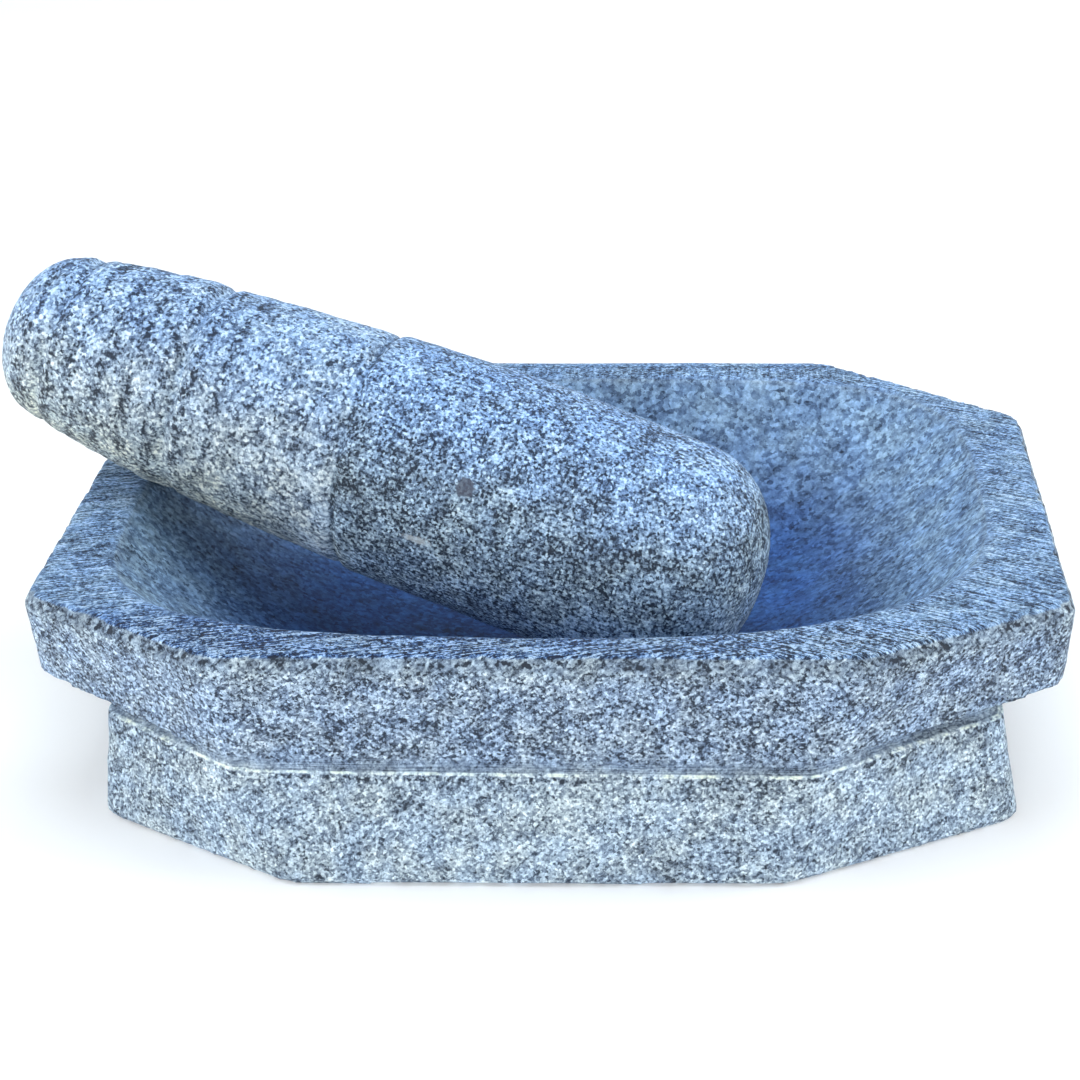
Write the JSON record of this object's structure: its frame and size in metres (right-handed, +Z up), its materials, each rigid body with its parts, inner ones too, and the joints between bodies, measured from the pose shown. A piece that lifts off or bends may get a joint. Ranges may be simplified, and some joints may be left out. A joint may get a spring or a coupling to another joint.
{
  "type": "molcajete",
  "caption": "Low octagonal granite mortar with a stepped foot and a rounded bowl, and a stout ringed pestle lying over its rim.",
  "frame": {"origin": "on the flat underside of the mortar's foot, below the middle of the rim", "axes": "+X along the mortar's length, towards the end away from the pestle's handle; -Y is the front; +Z up out of the bowl"},
  "size_m": [0.2655, 0.1974, 0.1105],
  "materials": {
    "mortar_granite": "ground granite, blue-grey, matt",
    "pestle_granite": "ground granite, pale blue-grey, matt"
  },
  "bodies": {
    "mortar": {"mortar": "mortar_granite"},
    "pestle": {"pestle": "pestle_granite"}
  },
  "joints": [
    {"name": "pestle_lift", "type": "slide", "parent": "mortar", "child": "pestle", "axis": [0, 0, 1], "range_m": [0, 0.12]}
  ]
}
